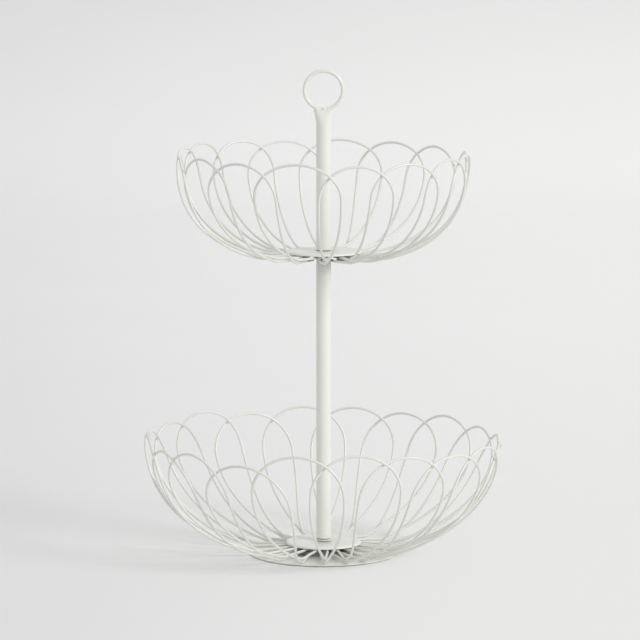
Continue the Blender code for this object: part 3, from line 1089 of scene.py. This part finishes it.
@dataclass
class Fasteners:
    """The threaded pieces inside the post. The screw's head is the only one to be seen."""

    head_z: float = 0.0047
    head_height: float = 0.003
    head_diameter: float = 0.011
    socket_width: float = 0.004
    socket_depth: float = 0.0018
    socket_sides: int = 6
    thread_diameter: float = 0.006
    length: float = 0.018
    chamfer: float = 0.0005
    edge_segments: int = 3
    sides: int = 48
    plain: tuple[str, ...] = ("lower_post_base_plug", "lower_post_top_plug", "upper_post_plug",
                              "joint_stud", "base_washer")

    def build(self) -> None:
        """Make the screw, and plate the plain pieces that stay as the frame has them."""
        self.build_screw()
        for name in self.plain:
            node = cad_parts[name]
            node.data.materials.clear()
            node.data.materials.append(BRIGHT_ZINC.material())
            LOG.info("%s: kept from the frame", name)

    def build_screw(self) -> None:
        """Form the cap screw: a head with a hexagon socket from below, and a chamfered shank."""
        head = self.head_diameter / 2
        shank = self.thread_diameter / 2
        half = self.head_height / 2
        screw = Bench.cylinder(head, self.head_z, self.head_z + self.head_height, self.sides)
        Bench.edit()
        Bench.pick(Part.FACE, lambda face: is_cap(face) and face.normal.z > 0)
        bpy.ops.mesh.inset(thickness=inset_for(head - shank, self.sides))
        Bench.draw_out(self.length - self.chamfer)
        Bench.draw_out(self.chamfer)
        Bench.draw_in(1 - self.chamfer / shank)
        Bench.done()
        round_edges([(head, half), (head, -half)], self.chamfer, self.edge_segments)
        corner = self.socket_width / 2 / cos(pi / self.socket_sides)
        low, high = self.head_z - self.socket_depth, self.head_z + self.socket_depth
        Bench.combine(screw, Bench.cylinder(corner, low, high, self.socket_sides), "DIFFERENCE")
        Bench.finish(screw, "base_screw", "formed", BRIGHT_ZINC)


@dataclass
class Studio:
    """Pale paper sweep, one soft key from the right and the camera."""

    floor_width: float = 12.0
    floor_front: float = -2.6
    floor_back: float = 3.0
    sweep_radius: float = 1.6
    wall_height: float = 3.0
    sweep_steps: int = 24
    paper_roughness: float = 0.95
    paper_specular: float = 0.1
    cloud_scale: float = 2.5
    cloud_depth: float = 0.04
    left_color: Color = (0.803, 0.803, 0.803)
    right_color: Color = (0.902, 0.902, 0.897)
    room_front: float = 3.0
    half_view: float = 0.09
    side_falloff: float = 1.8
    back_tone: float = 1.03
    back_reach: tuple[float, float] = (0.2, 1.5)
    camera_glow: float = 0.06
    wall_tone: float = 0.865
    wall_reach: tuple[float, float] = (0.0, 0.35)
    key_strength: float = 1.34
    key_angle: float = 18.0
    key_turn: float = 56.0
    key_height: float = 28.0
    sky_color: Color = (1.0, 1.0, 1.0)
    sky_strength: float = 0.63
    lens: float = 199.2
    sensor_width: float = 36.0
    camera_place: Triple = (-0.0031, -3.0, 0.5953)
    camera_tilt: float = 0.1303
    clip_start: float = 0.1
    clip_end: float = 60.0

    def build(self) -> None:
        """Set up the paper, the light and the camera."""
        self.build_paper()
        self.build_light()
        self.build_camera()
        bpy.context.scene.view_settings.view_transform = "Standard"

    def build_paper(self) -> None:
        """Lay a flat sheet and sweep it up behind the stand."""
        Bench.clear()
        depth = self.floor_back - self.floor_front
        bpy.ops.mesh.primitive_plane_add(
            size=1, location=(0, (self.floor_front + self.floor_back) / 2, 0)
        )
        bpy.ops.transform.resize(value=(self.floor_width, depth, 1))
        paper = bpy.context.object
        bpy.ops.object.transform_apply(location=True, rotation=True, scale=True)
        Bench.edit()
        edge = self.floor_back - SAME_PLACE
        Bench.pick(Part.EDGE, lambda line: all(vert.co.y > edge for vert in line.verts))
        bpy.ops.mesh.spin(
            steps=self.sweep_steps,
            angle=radians(-90),
            center=(0, self.floor_back, self.sweep_radius),
            axis=(1, 0, 0),
        )
        Bench.draw_out(self.wall_height)
        Bench.done()
        bpy.ops.object.shade_smooth()
        paper.name = "paper_sweep"
        paper.data.materials.append(self.paper_material())
        LOG.info("paper_sweep: %d faces", len(paper.data.polygons))

    def paper_material(self) -> Material:
        """Matt paper, painted paler towards the lit side of the room, with a faint cloud in its
        tone.

        Returns:
            The material.
        """
        material = bpy.data.materials.new("studio_paper")
        material.use_nodes = True
        web = Web(material.node_tree)
        axes = web.object_axes()
        aside = web.math("DIVIDE", axes["X"], web.math("ADD", axes["Y"], self.room_front))
        unlit = web.remap(aside, (-self.half_view, self.half_view), 1.0, 0.0)
        cloud = web.noise(self.cloud_scale, 2)
        drift = web.remap(cloud, CLOUD_LIMITS, -self.cloud_depth, self.cloud_depth)
        total = web.math("ADD", unlit, drift, clamped=True)
        falloff = web.math("POWER", total, self.side_falloff)
        # Painted light: the paper is a little paler further back and darker up the wall.
        deep = web.remap(axes["Y"], self.back_reach, 1.0, self.back_tone)
        dimmed = {
            "Vector": web.mix(falloff, self.right_color, self.left_color),
            "Scale": web.remap(axes["Z"], self.wall_reach, deep, self.wall_tone),
        }
        ray = web.add("LightPath", {})
        seen = web.math("ADD", ray["Is Camera Ray"], ray["Is Glossy Ray"])
        seen = web.math("ADD", seen, ray["Is Transmission Ray"], clamped=True)
        web.feed(material.node_tree.nodes["Principled BSDF"], {
            "Base Color": web.vector("SCALE", dimmed, "Vector"),
            "Roughness": self.paper_roughness,
            "Specular IOR Level": self.paper_specular,
            "Emission Color": (1, 1, 1),
            "Emission Strength": web.remap(seen, (0.0, 1.0), 0.0, self.camera_glow),
        })
        return material

    def build_light(self) -> None:
        """Hang a soft key on the right, a little to the front, and fill from all round."""
        data = bpy.data.lights.new("key", "SUN")
        data.energy = self.key_strength
        data.angle = radians(self.key_angle)
        key = bpy.data.objects.new("key", data)
        bpy.context.scene.collection.objects.link(key)
        turn = radians(self.key_turn)
        rise = radians(self.key_height)
        towards = Vector((sin(turn) * cos(rise), -cos(turn) * cos(rise), sin(rise)))
        key.rotation_euler = towards.to_track_quat("Z", "Y").to_euler()
        world = bpy.data.worlds.new("studio_air")
        world.use_nodes = True
        sky = world.node_tree.nodes["Background"]
        sky.inputs["Color"].default_value = (*self.sky_color, 1)
        sky.inputs["Strength"].default_value = self.sky_strength
        bpy.context.scene.world = world

    def build_camera(self) -> None:
        """Stand the camera three metres in front, looking down a little."""
        data = bpy.data.cameras.new("camera")
        data.lens = self.lens
        data.sensor_width = self.sensor_width
        data.clip_start = self.clip_start
        data.clip_end = self.clip_end
        camera = bpy.data.objects.new("camera", data)
        bpy.context.scene.collection.objects.link(camera)
        camera.location = self.camera_place
        camera.rotation_euler = (radians(90) - self.camera_tilt, 0, 0)
        bpy.context.scene.camera = camera


LOWER_BOWL = WireBowl(
    name="lower",
    petals=20,
    bend_z=0.00435,
    hub_rise=0.0015,
    bend_radius=0.0574,
    rim_radius=0.1512,
    depth=0.098,
    start_angle=radians(10),
    rim_angle=radians(94),
    start_share=0.335,
    rim_share=0.4,
    petal_half_width=0.0388,
    crown_height=0.0335,
    splay=0.195,
    turn_shares=(0.08, -0.02, 0.04, -0.02, 0.26, -0.1, -0.14, -0.08, -0.1, -0.1,
                 -0.12, -0.06, -0.02, -0.04, 0.16, -0.08, 0.02, -0.12, 0.02, 0.02),
    reach_shares=(0.2, 0.1, 0, 0.02, -0.14, -0.1, -0.1, 0, -0.06, 0.02,
                  0.04, -0.08, 0.1, -0.02, 0.02, 0.14, -0.08, 0.02, -0.12, 0.18),
    width_shares=(-0.02, 0, 0.04, 0, 0, 0.06, 0.08, 0.02, -0.02, -0.02,
                  -0.04, -0.04, -0.04, -0.04, 0.04, 0.06, 0.06, -0.02, 0.02, 0),
)
UPPER_BOWL = WireBowl(
    name="upper",
    petals=16,
    bend_z=0.25815,
    hub_rise=-0.001,
    bend_radius=0.0544,
    rim_radius=0.1217,
    depth=0.087,
    start_angle=radians(11),
    rim_angle=radians(99),
    start_share=0.418,
    rim_share=0.426,
    petal_half_width=0.0343,
    crown_height=0.028,
    splay=0.35,
    turn_shares=(0.08, 0.04, 0.14, 0, -0.16, 0.14, 0.14, 0.16,
                 0.22, 0.1, 0.18, 0, -0.26, -0.04, -0.08, 0.02),
    reach_shares=(-0.06, -0.04, -0.02, 0, -0.02, -0.02, 0.02, 0.06,
                  0.02, 0.08, 0.12, 0.08, -0.08, 0, -0.04, 0),
    width_shares=(-0.08, -0.02, -0.08, 0.04, -0.02, 0.04, 0.02, 0.08,
                  0, -0.08, -0.14, 0.02, 0, 0.1, 0.04, 0.08),
)


def main() -> None:
    """Build and dress the stand, then set up the studio."""
    logging.basicConfig(level=logging.INFO, format="%(name)s %(message)s")
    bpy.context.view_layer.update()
    FootPlate().build()
    LOWER_BOWL.build(LOWER_WIRE_COAT)
    PressedDisc("lower_disc", LOWER_DISC_Z, LOWER_DISC_COAT).build()
    Post().build()
    UPPER_BOWL.build(UPPER_WIRE_COAT)
    PressedDisc("upper_disc", UPPER_DISC_Z, UPPER_DISC_COAT).build()
    RingHandle().build()
    Fasteners().build()
    Studio().build()
    bpy.context.view_layer.update()


if __name__ == "__main__":
    main()
